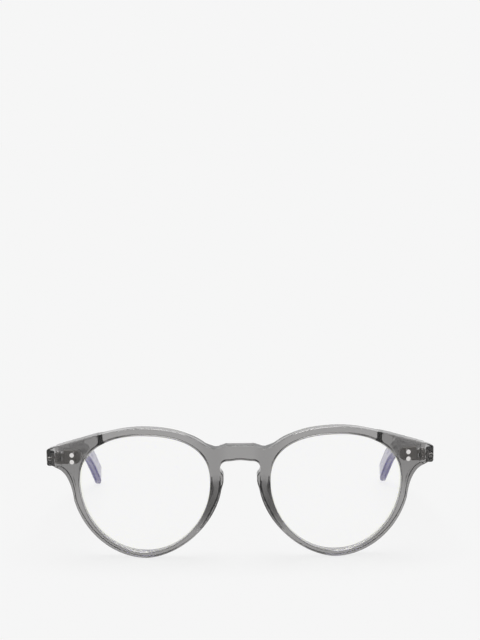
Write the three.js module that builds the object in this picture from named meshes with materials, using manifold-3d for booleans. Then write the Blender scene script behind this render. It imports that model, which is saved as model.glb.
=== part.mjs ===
// Round keyhole-bridge eyeglasses in clear grey acetate, standing open on rims and temple tips.
// Units are millimetres. +X is the wearer's left, the front faces -Y, +Z is up.
import * as THREE from 'three';
import { mergeVertices } from 'three/addons/utils/BufferGeometryUtils.js';
import Module from 'manifold-3d';

const wasm = await Module();
wasm.setup();

// Front, as laid out flat before it is bent
const lensWidth = 47;
const lensAbove = 16.65;
const lensBelow = 25.4;
const bridgeWidth = 21.2;
const frontThickness = 4.6;
const rimTop = 2.75;
const rimBottom = 2.15;
const rimNasal = 4.5;
const rimTemporal = 3;
const edgeRound = 0.5;
const frontRadius = 270;
const pantoscopicTilt = THREE.MathUtils.degToRad(12);
const lensLine = -9.5;

// Bridge with its keyhole
const bridgeTop = 3.9;
const bridgeTopHalf = 5;
const notchInset = 2;
const notchTop = 2.65;
const notchDip = 0.5;
const bridgeArch = 0.4;
const keyholeInset = 5.6;
const keyholeRadius = 2.05;
const keyholeCentre = -3.75;
const noseInset = 4.75;
const noseDrop = 3.55;

// Endpieces, which carry the hinges
const endReach = 8.8;
const endAbove = 3.15;
const endBelow = 3;
const endCorner = 0.9;
const footHandle = 3.4;
const browHandle = 9;
const browEndHandle = 18;
const browFall = THREE.MathUtils.degToRad(18.8);
const mitreCut = 4.1;
const mitreReach = 2.2;
const buttGap = 0.25;

// Lenses in their V groove
const grooveDepth = 0.65;
const grooveHalf = 0.8;
const lensEdge = 1.9;
const lensBevelGap = 0.1;
const lensDome = 1.3;
const lensGap = 0.15;

// Built-up nose pads, glued behind the rims
const padDepth = 4.2;
const padGap = 0.25;

// Three-barrel hinge
const hingeLine = -1.7;
const hingeInset = 4.5;
const knuckleRadius = 1.25;
const knuckleHeight = 1.2;
const knuckleGap = 0.08;
const screwRadius = 0.54;
const screwGap = 0.08;
const screwHeadRadius = 0.95;
const screwHeadHeight = 0.45;
const screwSlot = 0.3;
const plateLength = 5.9;
const plateMargin = 0.3;
const plateThickness = 1.1;
const plateCorner = 1.1;
const rivetInset = 9.2;
const plateOffset = 0.75;
const armThickness = 0.9;
const armSink = 0.5;
const templePlateLength = 8;
const templePlateHeight = 3.8;
const templePlateStart = 1.7;
const seatGap = 0.15;

// Rivets
const rivetRadius = 0.83;
const rivetSpacing = 2.45;
const templeRivetSpacing = 3.9;
const rivetDome = 0.12;

// Temples
const templeThickness = 3.2;
const buttHeight = 6.6;
const waistHeight = 5.2;
const tipHeight = 6.6;
const templeRound = 0.8;
const templeStraight = 96;
const templeBendRadius = 60;
const templeBend = THREE.MathUtils.degToRad(30);
const templeTail = 10;
const templeToeIn = 6.5;
const wireRadius = 0.6;
const wireLength = 108;

const overrun = 3;

// How the outline and the curved surfaces are divided
const lensSteps = 48;
const rimSteps = 76;
const templeSteps = 28;
const wireSteps = 14;
const tipAngleShares = [0.25, 0.5, 0.7, 0.86, 0.97];
const curveSteps = 8;
const noseSteps = 3;
const roundSides = 12;
const quarter = Math.PI / 2;
const turn = Math.PI * 2;

const acetate = new THREE.MeshStandardMaterial({ color: 0x9b9896, roughness: 0.12, metalness: 0 });
const clear = new THREE.MeshStandardMaterial({ color: 0xf2f2f6, roughness: 0.03, metalness: 0 });
const steel = new THREE.MeshStandardMaterial({ color: 0xd6d4d3, roughness: 0.25, metalness: 1 });
const darkSteel = new THREE.MeshStandardMaterial({ color: 0x6b6868, roughness: 0.35, metalness: 1 });

// A closed mesh becomes a solid that can be joined and cut.
function solid(geometry) {
  const bare = new THREE.BufferGeometry();
  bare.setAttribute('position', geometry.getAttribute('position').clone());
  if (geometry.index) bare.setIndex(geometry.index.clone());
  const merged = mergeVertices(bare);
  return new wasm.Manifold(new wasm.Mesh({
    numProp: 3,
    vertProperties: new Float32Array(merged.getAttribute('position').array),
    triVerts: new Uint32Array(merged.index.array),
  }));
}

// A solid becomes a mesh geometry again.
function geometryOf(body) {
  const mesh = body.getMesh();
  const geometry = new THREE.BufferGeometry();
  geometry.setAttribute('position', new THREE.BufferAttribute(mesh.vertProperties, 3));
  geometry.setIndex(new THREE.BufferAttribute(mesh.triVerts, 1));
  geometry.computeVertexNormals();
  return geometry;
}

function piece(name, geometry, material) {
  const mesh = new THREE.Mesh(geometry, material);
  mesh.name = name;
  return mesh;
}

// Rings of points, each with the same count, are skinned and closed by a fan at both ends.
function skin(rings) {
  const sides = rings[0].length;
  const points = rings.flat();
  const index = [];
  rings.slice(1).forEach((ring, row) => {
    ring.forEach((point, side) => {
      const a = row * sides + side;
      const b = row * sides + (side + 1) % sides;
      index.push(a, b, b + sides, a, b + sides, a + sides);
    });
  });
  const last = points.length - sides;
  for (let side = 1; side < sides - 1; side += 1) {
    index.push(0, side + 1, side, last, last + side, last + side + 1);
  }
  const geometry = new THREE.BufferGeometry().setFromPoints(points);
  geometry.setIndex(index);
  return geometry;
}

// Rings that come round to the first again make a hoop.
function hoop(rings) {
  const sides = rings[0].length;
  const index = [];
  rings.forEach((ring, row) => {
    const next = ((row + 1) % rings.length) * sides;
    ring.forEach((point, side) => {
      const other = (side + 1) % sides;
      const a = row * sides;
      index.push(a + side, a + other, next + other, a + side, next + other, next + side);
    });
  });
  const geometry = new THREE.BufferGeometry().setFromPoints(rings.flat());
  geometry.setIndex(index);
  return geometry;
}

// Squareness of each quarter of the ovals, from the temporal top round by the nose to the
// temporal bottom: 1 is an ellipse, and more is squarer
const lensShares = [1.05, 1.225, 0.965, 1];
const rimShares = [1.05, 1.15, 0.865, 0.975];
const lensCentre = bridgeWidth / 2 + lensWidth / 2;
const endHalf = lensCentre + lensWidth / 2 + rimTemporal + endReach;

// One point of the four-quarter oval that the lens and the rim have in common
function ovalPoint(share, grow, quarterShares) {
  const across = Math.cos(share * turn);
  const up = Math.sin(share * turn);
  const power = 1 / quarterShares[Math.floor(share * quarterShares.length)];
  const width = lensWidth / 2 + (across >= 0 ? grow.temporal : grow.nasal);
  const height = up >= 0 ? lensAbove + grow.top : lensBelow + grow.bottom;
  return new THREE.Vector2(
    lensCentre + width * Math.sign(across) * Math.abs(across) ** power,
    lensLine + height * Math.sign(up) * Math.abs(up) ** power,
  );
}

const evenly = (grow) => ({ temporal: grow, nasal: grow, top: grow, bottom: grow });
const rimGrow = { temporal: rimTemporal, nasal: rimNasal, top: rimTop, bottom: rimBottom };
const lensPoint = (share, grow = 0) => ovalPoint(share, evenly(grow), lensShares);
const rimPoint = (share) => ovalPoint(share, rimGrow, rimShares);

// The rim oval from one share of a turn to another, without its last point.
function rimStretch(from, to) {
  const steps = Math.round(Math.abs(to - from) * rimSteps);
  return Array.from({ length: steps }, (_, step) => rimPoint(from + (to - from) * step / steps));
}

// Where the rim oval hands over to the notch, the endpiece and the nose corner
const notchShare = 0.385;
const underShare = 0.955;
const noseShare = 0.52;
const noseCurveShare = 0.3;
const footShare = 0.39;

function curve(a, b, c, d, steps = curveSteps) {
  return new THREE.CubicBezierCurve(a, b, c, d).getPoints(steps).slice(0, -1);
}

// Places that follow the gap between the lenses, the keyhole and the hinge line
const notchHalf = bridgeWidth / 2 - notchInset;
const keyholeHalf = bridgeWidth / 2 - keyholeInset;
const noseHalf = bridgeWidth / 2 - noseInset;
const bridgeUnder = keyholeCentre + keyholeRadius + bridgeArch;
const noseCorner = keyholeCentre - noseDrop;
const endTop = hingeLine + endAbove;
const endBottom = hingeLine - endBelow;

// Half of the outline, from the middle of the bridge round the rim to the middle again.
function halfOutline() {
  const at = (x, y) => new THREE.Vector2(x, y);
  const crown = rimPoint(0.25);
  const end = at(endHalf - endCorner, endTop);
  const handle = at(-Math.cos(browFall), Math.sin(browFall)).multiplyScalar(browEndHandle);
  const under = rimPoint(underShare);
  const foot = at(endHalf - endReach * footShare, endBottom - endCorner);
  const nose = rimPoint(noseShare);
  const bump = at(bridgeTopHalf, bridgeTop);
  const arc = new THREE.Path().absarc(keyholeHalf, keyholeCentre, keyholeRadius, -quarter / 2, quarter);
  const keyhole = arc.getPoints(curveSteps / 2);
  const corner = at(noseHalf, noseCorner);
  return [
    at(0, bridgeTop),
    ...curve(bump, at(notchHalf - notchDip, notchTop - notchDip),
      at(notchHalf + notchDip, notchTop - notchDip), rimPoint(notchShare)),
    ...rimStretch(notchShare, 0.25),
    ...curve(crown, at(crown.x + browHandle, crown.y), end.clone().add(handle), end),
    end,
    at(endHalf, endTop - endCorner),
    at(endHalf, endBottom + endCorner),
    at(endHalf - endCorner, endBottom),
    ...curve(foot, at(foot.x - footHandle, foot.y - endCorner),
      at(under.x + endCorner, under.y + 2 * footHandle), under),
    ...rimStretch(underShare, noseShare),
    ...curve(nose, nose.clone().lerp(corner, noseCurveShare),
      at(noseHalf, (nose.y + noseCorner) / 2), corner, noseSteps),
    corner,
    ...keyhole,
    at(0, bridgeUnder),
  ];
}

function mirrored(points) {
  return points.map((point) => new THREE.Vector2(-point.x, point.y));
}

// Flat layout to the bent front: x along the front, y behind its face, z up the face.
function bend(geometry) {
  const place = geometry.getAttribute('position');
  for (let i = 0; i < place.count; i += 1) {
    const angle = place.getX(i) / frontRadius;
    const radius = frontRadius - place.getY(i);
    place.setX(i, radius * Math.sin(angle));
    place.setY(i, frontRadius - radius * Math.cos(angle));
  }
  return geometry;
}

// The place on the bent front at a flat layout point, with the face's own direction there.
function onFront(x, y, z) {
  const angle = x / frontRadius;
  const radius = frontRadius - y;
  return new THREE.Matrix4()
    .makeRotationZ(angle)
    .setPosition(radius * Math.sin(angle), frontRadius - radius * Math.cos(angle), z);
}

const templeLength = templeStraight + templeBendRadius * templeBend + templeTail;

// Centre of the tip, where its round end starts, from the butt of the temple
const tipCentre = new THREE.Vector2(
  templeStraight + templeBendRadius * Math.sin(templeBend) + templeTail * Math.cos(templeBend),
  -templeBendRadius * (1 - Math.cos(templeBend)) - templeTail * Math.sin(templeBend),
);

// The temples slope down until their tips stand as low as the rims.
function restingSlope() {
  let slope = 0;
  for (let round = 0; round < 30; round += 1) {
    const lean = pantoscopicTilt - slope;
    const rimDepth = frontRadius * (1 - Math.cos(lensCentre / frontRadius)) + edgeRound;
    const rimFoot = (lensLine - lensBelow - rimBottom) * Math.cos(lean) + rimDepth * Math.sin(lean);
    const hingeHeight = hingeLine * Math.cos(lean) - rimFoot;
    const tipRise = tipCentre.y * Math.cos(slope) - tipHeight / 2;
    slope = Math.asin((hingeHeight + tipRise) / tipCentre.x);
  }
  return slope;
}

// Worked out again and again until it no longer changes
const templeSlope = restingSlope();
const frontLean = pantoscopicTilt - templeSlope;

// The hinge stands a set way in from the end of the bent front, behind the flat that meets the temple.
const bentHalf = frontRadius * Math.sin(endHalf / frontRadius);
const hingeHalf = bentHalf - hingeInset;
const mitreDepth = frontRadius * (1 - Math.cos(hingeHalf / frontRadius)) + mitreCut;
const hingeDepth = mitreDepth + knuckleRadius + buttGap;
const frontToRest = new THREE.Matrix4().makeRotationX(frontLean);
const restToFront = frontToRest.clone().invert();

// Frame front: an extruded sheet with rounded edges, bent, then grooved and cut for the hinges
function flatFront() {
  const half = halfOutline();
  const outline = new THREE.Shape([...half, ...mirrored(half.slice(1, -1)).reverse()].reverse());
  const hole = Array.from({ length: lensSteps }, (_, step) => lensPoint(step / lensSteps));
  outline.holes.push(new THREE.Path(hole), new THREE.Path(mirrored(hole)));
  const sheet = new THREE.ExtrudeGeometry(outline, {
    depth: frontThickness - 2 * edgeRound,
    bevelEnabled: true,
    bevelThickness: edgeRound,
    bevelSize: edgeRound,
    bevelOffset: -edgeRound,
    bevelSegments: 1,
  });
  return sheet.translate(0, 0, edgeRound - frontThickness).rotateX(quarter);
}

// V groove that runs round one lens opening, as a hoop of triangles
function groove(side) {
  const reach = grooveHalf * (1 + overrun / grooveDepth);
  const mid = frontThickness / 2;
  const rings = Array.from({ length: lensSteps }, (_, step) => {
    const wide = lensPoint(step / lensSteps, grooveDepth);
    const tight = lensPoint(step / lensSteps, -overrun);
    return [
      new THREE.Vector3(side * wide.x, mid, wide.y),
      new THREE.Vector3(side * tight.x, mid - reach, tight.y),
      new THREE.Vector3(side * tight.x, mid + reach, tight.y),
    ];
  });
  return facingOut(hoop(rings));
}

// Turns a closed surface outward where its rings run the other way round.
function facingOut(geometry) {
  const place = geometry.getAttribute('position');
  const corner = [0, 1, 2].map(() => new THREE.Vector3());
  const index = geometry.index.array;
  let volume = 0;
  for (let i = 0; i < index.length; i += 3) {
    corner.forEach((point, j) => point.fromBufferAttribute(place, index[i + j]));
    volume += corner[0].dot(corner[1].cross(corner[2]));
  }
  if (volume < 0) geometry.setIndex(Array.from(index).reverse());
  return geometry;
}

// The lens's dome is drawn through rings at these shares of the way to its edge.
const lensMiddleShare = 0.08;
const lensHalfwayShare = 0.55;

function lens(side) {
  const mid = frontThickness / 2;
  const half = lensEdge / 2;
  const bevelHalf = grooveHalf - lensBevelGap;
  const centre = new THREE.Vector2(lensCentre, lensLine + (lensAbove - lensBelow) / 2);
  const rows = [
    { share: lensMiddleShare, depth: -half },
    { share: lensHalfwayShare, depth: -half },
    { grow: -lensGap, depth: -half },
    { grow: -lensGap, depth: -bevelHalf },
    { grow: grooveDepth - 2 * lensGap, depth: 0 },
    { grow: -lensGap, depth: bevelHalf },
    { grow: -lensGap, depth: half },
    { share: lensHalfwayShare, depth: half },
    { share: lensMiddleShare, depth: half },
  ];
  const rings = rows.map(({ share = 1, grow = -lensGap, depth }) => {
    const domed = mid + depth - lensDome * (1 - share * share);
    return Array.from({ length: lensSteps }, (_, step) => {
      const edge = lensPoint(step / lensSteps, grow).lerp(centre, 1 - share);
      return new THREE.Vector3(side * edge.x, domed, edge.y);
    });
  });
  return bend(facingOut(skin(rings)));
}

// Section of a nose pad: shares across the rim from the nose side, and of the pad's depth
const padSectionShares = [
  [0.04, 0], [0.06, 0.3], [0.22, 0.72], [0.45, 0.97], [0.66, 1], [0.82, 0.8], [0.88, 0.35], [0.86, 0],
];
const padFromShare = 0.505;
const padToShare = 0.625;
const padSteps = 12;
const padEndShare = 0.12;
const padSwellShare = 0.7;

function nosePad(side) {
  const rings = Array.from({ length: padSteps + 1 }, (_, row) => {
    const share = padFromShare + (padToShare - padFromShare) * row / padSteps;
    const rise = Math.sin(Math.PI * row / padSteps) ** padSwellShare;
    const swell = padEndShare + (1 - padEndShare) * rise;
    const outer = rimPoint(share);
    const inner = lensPoint(share);
    return padSectionShares.map(([across, back]) => {
      const place = outer.clone().lerp(inner, across);
      const depth = frontThickness + padGap + padDepth * back * swell;
      return new THREE.Vector3(side * place.x, depth, place.y);
    });
  });
  return bend(facingOut(skin(rings)));
}

function box(x0, x1, y0, y1, z0, z1) {
  return new THREE.BoxGeometry(x1 - x0, y1 - y0, z1 - z0)
    .translate((x0 + x1) / 2, (y0 + y1) / 2, (z0 + z1) / 2);
}

// An upright cylinder between two heights
function barrel(radius, bottom, top) {
  return new THREE.CylinderGeometry(radius, radius, top - bottom, roundSides)
    .rotateX(quarter).translate(0, 0, (bottom + top) / 2);
}

// A plate with cut corners, lying in X and Z, its face at y = 0 and its thickness behind
function cutCornerPlate(length, height, corner, thickness) {
  const x = length / 2;
  const z = height / 2;
  const outline = new THREE.Shape([
    new THREE.Vector2(x, z), new THREE.Vector2(corner - x, z), new THREE.Vector2(-x, z - corner),
    new THREE.Vector2(-x, corner - z), new THREE.Vector2(corner - x, -z), new THREE.Vector2(x, -z),
  ]);
  return new THREE.ExtrudeGeometry(outline, { depth: thickness, bevelEnabled: false })
    .rotateX(quarter).translate(0, thickness, 0);
}

// Heights of the three knuckles of a hinge, the middle one on the temple
const boreRadius = screwRadius + screwGap;
const knuckleStep = knuckleHeight + knuckleGap;
const stackHalf = knuckleStep + knuckleHeight / 2;

// Axis of the left hinge, with the front standing at its lean
const hingePlace = new THREE.Vector3(hingeHalf, hingeDepth, hingeLine * Math.cos(frontLean));

// Seat of the front hinge plate, flat on the back of the bent endpiece
const rivetHalf = endHalf - rivetInset;
const plateHeight = rivetSpacing + 2 * (rivetRadius + plateMargin);
const plateHalf = rivetHalf + plateOffset;
const plateSeat = onFront(plateHalf, frontThickness, hingeLine);

function hingeToFront(geometry) {
  return geometry.applyMatrix4(new THREE.Matrix4().makeTranslation(hingePlace)).applyMatrix4(restToFront);
}

// Front half of the left hinge in the front's own frame. A grown copy cuts its seat.
function frontLeaf(grow, rise) {
  const thickness = plateThickness + grow;
  const plate = cutCornerPlate(
    plateLength + 2 * grow, plateHeight + 2 * grow, plateCorner, thickness + rise,
  );
  let body = solid(plate.translate(0, -thickness, 0).applyMatrix4(plateSeat));
  const front = -knuckleRadius - armSink - grow;
  const reach = hingeHalf - plateHalf + grow;
  for (const level of [-knuckleStep, knuckleStep]) {
    const low = level - knuckleHeight / 2 - grow;
    const high = level + knuckleHeight / 2 + grow;
    const arm = box(-reach, 0, front, armThickness - knuckleRadius + grow, low, high);
    body = body.add(solid(hingeToFront(arm)));
    body = body.add(solid(hingeToFront(barrel(knuckleRadius + grow, low, high))));
  }
  return body;
}

// The rivets lie along y, the domed head at the origin and the shank behind it.
function rivet(radius, length) {
  const profile = [
    new THREE.Vector2(0, 0), new THREE.Vector2(radius - rivetDome, 0),
    new THREE.Vector2(radius, rivetDome), new THREE.Vector2(radius, length - rivetDome),
    new THREE.Vector2(radius - rivetDome, length), new THREE.Vector2(0, length),
  ];
  return facingOut(new THREE.LatheGeometry(profile, roundSides));
}

const rivetLevels = { upper: hingeLine + rivetSpacing / 2, lower: hingeLine - rivetSpacing / 2 };
const rivetLength = frontThickness + 2 * rivetDome;

function rivetBores() {
  return Object.values(rivetLevels).map((level) => {
    const bore = rivet(rivetRadius + seatGap, frontThickness + 2 * overrun).translate(0, -overrun, 0);
    return solid(bore.applyMatrix4(onFront(rivetHalf, 0, level)));
  });
}

function frontHinge() {
  const bore = barrel(boreRadius, -stackHalf - overrun, stackHalf + overrun);
  let body = frontLeaf(0, 0).subtract(solid(hingeToFront(bore)));
  for (const cutter of rivetBores()) body = body.subtract(cutter);
  return body;
}

function frameFront() {
  let body = solid(bend(flatFront()));
  for (const side of [1, -1]) body = body.subtract(solid(bend(groove(side))));
  const wide = hingeHalf + endReach + overrun;
  const deep = mitreDepth + frontThickness + overrun;
  const inner = hingeHalf - mitreReach;
  const mitre = solid(box(inner, wide, mitreDepth, deep, -wide, wide).applyMatrix4(restToFront));
  for (const cutter of [mitre, frontLeaf(seatGap, overrun), ...rivetBores()]) {
    body = body.subtract(cutter).subtract(cutter.mirror([1, 0, 0]));
  }
  return body;
}

// Screw of a hinge, standing on the axis, with a slot across its head
function hingeScrew() {
  const seat = stackHalf + knuckleGap;
  const crown = seat + screwHeadHeight;
  const profile = [
    new THREE.Vector2(0, -stackHalf), new THREE.Vector2(screwRadius, -stackHalf),
    new THREE.Vector2(screwRadius, seat), new THREE.Vector2(screwHeadRadius, seat),
    new THREE.Vector2(screwHeadRadius, crown), new THREE.Vector2(0, crown),
  ];
  const screw = facingOut(new THREE.LatheGeometry(profile, roundSides)).rotateX(quarter);
  const slotFloor = seat + screwHeadHeight / 2;
  const slotHalf = screwSlot / 2;
  const slot = box(-overrun, overrun, -slotHalf, slotHalf, slotFloor, slotFloor + overrun);
  return solid(screw).subtract(solid(slot));
}

// Middle line of a temple at a distance along it: place in y and z, and its fall
function templeLine(along) {
  const round = templeBendRadius * templeBend;
  if (along < templeStraight) return { y: along, z: 0, fall: 0 };
  const fall = Math.min((along - templeStraight) / templeBendRadius, templeBend);
  const tail = Math.max(along - templeStraight - round, 0);
  return {
    y: templeStraight + templeBendRadius * Math.sin(fall) + tail * Math.cos(fall),
    z: -templeBendRadius * (1 - Math.cos(fall)) - tail * Math.sin(fall),
    fall,
  };
}

function toeIn(along) {
  return -templeToeIn * (Math.max(along, 0) / templeLength) ** 3;
}

// Height of the temple: from the butt down to a waist, then up again to the tip
const waistShares = [0.04, 0.45];
const tipShares = [0.6, 0.95];

function templeHeight(along) {
  const share = along / templeLength;
  const toWaist = THREE.MathUtils.smoothstep(share, ...waistShares);
  const toTip = THREE.MathUtils.smoothstep(share, ...tipShares);
  return buttHeight + (waistHeight - buttHeight) * toWaist + (tipHeight - waistHeight) * toTip;
}

// Rounded rectangle, thickness across and height up, as points round the section
const cornerShares = [0, 0.5, 1];

function roundedSection(thickness, height, radius) {
  const x = thickness / 2 - radius;
  const z = height / 2 - radius;
  const corners = [[x, z], [-x, z], [-x, -z], [x, -z]];
  return corners.flatMap(([cx, cz], quarters) => cornerShares.map((part) => {
    const angle = (quarters + part) * quarter;
    return new THREE.Vector2(cx + radius * Math.cos(angle), cz + radius * Math.sin(angle));
  }));
}

// A section carried along the temple's line
function alongTemple(stations) {
  return facingOut(skin(stations.map(({ along, section }) => {
    const { y, z, fall } = templeLine(along);
    return section.map((point) => new THREE.Vector3(
      point.x + toeIn(along), y + point.y * Math.sin(fall), z + point.y * Math.cos(fall),
    ));
  })));
}

function templeBlank() {
  const stations = [];
  const add = (along, squeeze) => stations.push({
    along,
    section: roundedSection(
      templeThickness * (0.5 + squeeze / 2), templeHeight(along) * squeeze, templeRound * squeeze,
    ),
  });
  add(-overrun, 1);
  for (let step = 0; step <= templeSteps; step += 1) add(templeLength * step / templeSteps, 1);
  for (const angle of tipAngleShares.map((share) => share * quarter)) {
    add(templeLength + tipHeight / 2 * Math.sin(angle), Math.cos(angle));
  }
  return solid(alongTemple(stations));
}

// Round bar along the middle of the temple, for the core wire and its channel
function bar(radius, from, to) {
  const section = Array.from({ length: roundSides / 2 }, (_, side) => {
    const angle = turn * side / (roundSides / 2);
    return new THREE.Vector2(radius * Math.cos(angle), radius * Math.sin(angle));
  });
  const stations = Array.from({ length: wireSteps + 1 }, (_, step) => (
    { along: from + (to - from) * step / wireSteps, section }
  ));
  return solid(alongTemple(stations));
}

// The temple hangs in the hinge's frame by the middle of its butt.
const buttPlace = new THREE.Vector3(knuckleRadius + seatGap + templeThickness / 2, -knuckleRadius, 0);
const templeFrame = new THREE.Matrix4().makeRotationX(-templeSlope).setPosition(buttPlace);
const hingeFrame = templeFrame.clone().invert();
const innerFace = -templeThickness / 2;
const wireStart = templePlateStart + templePlateLength + wireRadius;

// Temple half of the left hinge in the temple's own frame. A grown copy cuts its seat.
function templeLeaf(grow, rise) {
  const plate = cutCornerPlate(
    templePlateLength + 2 * grow, templePlateHeight + 2 * grow, plateCorner, plateThickness + grow + rise,
  ).rotateZ(-quarter).translate(innerFace - rise, templePlateStart + templePlateLength / 2, 0);
  const half = knuckleHeight / 2 + grow;
  const armReach = buttPlace.x + innerFace + plateThickness + grow;
  const arm = box(0, armReach, -grow, knuckleRadius + grow, -half, half).applyMatrix4(hingeFrame);
  const knuckle = barrel(knuckleRadius + grow, -half, half).applyMatrix4(hingeFrame);
  return solid(plate).add(solid(arm)).add(solid(knuckle));
}

const templeRivetPlaces = { front: -templeRivetSpacing / 2, rear: templeRivetSpacing / 2 };
const templeRivetLength = templeThickness + 2 * rivetDome;

function templeRivetPlace(shift) {
  const middle = templePlateStart + templePlateLength / 2;
  return new THREE.Vector3(templeThickness / 2 + rivetDome, middle + shift, 0);
}

function templeRivetBores() {
  return Object.values(templeRivetPlaces).map((shift) => {
    const place = templeRivetPlace(shift);
    const bore = rivet(rivetRadius + seatGap, templeThickness + 2 * overrun).rotateZ(quarter);
    return solid(bore.translate(place.x + overrun, place.y, place.z));
  });
}

function temple() {
  const reach = templeThickness + overrun;
  const behind = box(-reach, reach, -2 * overrun, 0, -buttHeight, buttHeight);
  const spin = new THREE.Matrix4().makeRotationX(templeSlope);
  const cutters = [
    solid(behind.applyMatrix4(spin)), templeLeaf(seatGap, overrun), ...templeRivetBores(),
    bar(wireRadius + seatGap, wireStart - 2 * wireRadius, wireStart + wireLength + seatGap),
  ];
  return cutters.reduce((body, cutter) => body.subtract(cutter), templeBlank());
}

function templeHinge() {
  const bore = barrel(boreRadius, -stackHalf - overrun, stackHalf + overrun).applyMatrix4(hingeFrame);
  const cutters = [solid(bore), ...templeRivetBores()];
  return cutters.reduce((body, cutter) => body.subtract(cutter), templeLeaf(0, 0));
}

// Assembly: the front at its lean, a hinge group each side, and a temple group in each hinge
const glasses = new THREE.Group();
const front = new THREE.Group();
front.rotation.x = frontLean;
glasses.add(front);
front.add(piece('frame_front', geometryOf(frameFront()), acetate));

for (const [side, word] of [[1, 'left'], [-1, 'right']]) {
  const handed = (body) => geometryOf(side > 0 ? body : body.mirror([1, 0, 0]));
  front.add(piece(`lens_${word}`, lens(side), clear));
  front.add(piece(`nose_pad_${word}`, nosePad(side), acetate));
  front.add(piece(`front_hinge_${word}`, handed(frontHinge()), darkSteel));
  for (const [level, height] of Object.entries(rivetLevels)) {
    const pin = piece(`front_rivet_${word}_${level}`, rivet(rivetRadius, rivetLength), steel);
    onFront(side * rivetHalf, -rivetDome, height).decompose(pin.position, pin.quaternion, pin.scale);
    front.add(pin);
  }

  const hinge = new THREE.Group();
  hinge.position.set(side * hingePlace.x, hingePlace.y, hingePlace.z);
  hinge.add(piece(`hinge_screw_${word}`, geometryOf(hingeScrew()), steel));
  glasses.add(hinge);

  const arm = new THREE.Group();
  arm.rotation.x = -templeSlope;
  arm.position.set(side * buttPlace.x, buttPlace.y, buttPlace.z);
  hinge.add(arm);
  arm.add(piece(`temple_${word}`, handed(temple()), acetate));
  arm.add(piece(`temple_hinge_${word}`, handed(templeHinge()), darkSteel));
  arm.add(piece(`core_wire_${word}`, handed(bar(wireRadius, wireStart, wireStart + wireLength)), steel));
  for (const [order, shift] of Object.entries(templeRivetPlaces)) {
    const pin = piece(`temple_rivet_${word}_${order}`, rivet(rivetRadius, templeRivetLength), steel);
    const place = templeRivetPlace(shift);
    pin.position.set(side * place.x, place.y, place.z);
    pin.rotation.z = side * quarter;
    arm.add(pin);
  }
}

// The origin is under the middle of the glasses, on the surface that they stand on.
const extent = new THREE.Box3().setFromObject(glasses, true);
const middle = extent.getCenter(new THREE.Vector3());
glasses.position.set(0, -middle.y, -extent.min.z);

const model = new THREE.Group();
model.add(glasses);
export default model;
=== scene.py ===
# %% [markdown]
# # Round keyhole eyeglasses in clear grey acetate
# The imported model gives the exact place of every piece. This script dresses it: each piece that
# shows is modelled again with smooth curves and rounded edges, and gets a material that bends,
# absorbs and reflects light as the real one does. Everything is in metres, in the frame of the
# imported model.

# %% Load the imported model
import math

import bmesh
import bpy
from mathutils import Matrix, Vector
from mathutils.kdtree import KDTree


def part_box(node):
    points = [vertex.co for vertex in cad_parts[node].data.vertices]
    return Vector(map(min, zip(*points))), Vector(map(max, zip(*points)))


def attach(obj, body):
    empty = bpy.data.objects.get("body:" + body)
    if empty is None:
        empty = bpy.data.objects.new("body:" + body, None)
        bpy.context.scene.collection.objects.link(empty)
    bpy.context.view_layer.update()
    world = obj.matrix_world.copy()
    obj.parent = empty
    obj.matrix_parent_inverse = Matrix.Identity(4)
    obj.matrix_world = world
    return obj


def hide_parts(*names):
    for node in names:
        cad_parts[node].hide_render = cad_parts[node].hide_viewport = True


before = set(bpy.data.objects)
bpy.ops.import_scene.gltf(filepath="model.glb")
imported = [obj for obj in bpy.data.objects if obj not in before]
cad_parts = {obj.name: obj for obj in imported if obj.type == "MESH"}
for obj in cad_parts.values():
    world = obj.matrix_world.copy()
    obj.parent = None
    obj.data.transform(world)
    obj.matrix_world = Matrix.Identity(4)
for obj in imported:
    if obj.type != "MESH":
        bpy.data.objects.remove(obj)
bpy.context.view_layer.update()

# %% [markdown]
# ## Sizes
# These are the sizes that the maker of the front would write down: the lens opening, the bridge,
# the widths of the rim and the thickness of the sheet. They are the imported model's sizes, so that
# what is modelled here lies where its solid lies.

# %% Sizes of the front
MM = 0.001
LENS_WIDTH, LENS_ABOVE, LENS_BELOW = 47 * MM, 16.65 * MM, 25.4 * MM
BRIDGE_WIDTH = 21.2 * MM
THICKNESS = 4.6 * MM
RIM_TOP, RIM_BOTTOM, RIM_NASAL, RIM_TEMPORAL = 2.75 * MM, 2.15 * MM, 4.15 * MM, 3 * MM
EDGE_ROUND = 0.5 * MM
FRONT_RADIUS = 270 * MM
LENS_LINE, HINGE_LINE = -9.5 * MM, -1.7 * MM
LENS_CENTRE = (BRIDGE_WIDTH + LENS_WIDTH) / 2
END_REACH = 8.8 * MM
END_HALF = LENS_CENTRE + LENS_WIDTH / 2 + RIM_TEMPORAL + END_REACH
print(f"Front {2000 * END_HALF:.1f} mm wide when flat")

# %% Sizes of the hinges and the temples
KNUCKLE_RADIUS, KNUCKLE_HEIGHT, KNUCKLE_GAP = 1.25 * MM, 1.2 * MM, 0.08 * MM
HINGE_INSET, MITRE_INSET, MITRE_GAP = 4.5 * MM, 4.1 * MM, 0.25 * MM
HINGE_HALF = FRONT_RADIUS * math.sin(END_HALF / FRONT_RADIUS) - HINGE_INSET
MITRE_DEPTH = FRONT_RADIUS * (1 - math.cos(HINGE_HALF / FRONT_RADIUS)) + MITRE_INSET
HINGE_DEPTH = MITRE_DEPTH + KNUCKLE_RADIUS + MITRE_GAP
TEMPLE_THICKNESS, TIP_HEIGHT = 3.2 * MM, 6.6 * MM
TEMPLE_STRAIGHT, TEMPLE_BEND_RADIUS, TEMPLE_TAIL = 96 * MM, 60 * MM, 10 * MM
TEMPLE_BEND = math.radians(30)
TEMPLE_LENGTH = TEMPLE_STRAIGHT + TEMPLE_BEND_RADIUS * TEMPLE_BEND + TEMPLE_TAIL
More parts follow.
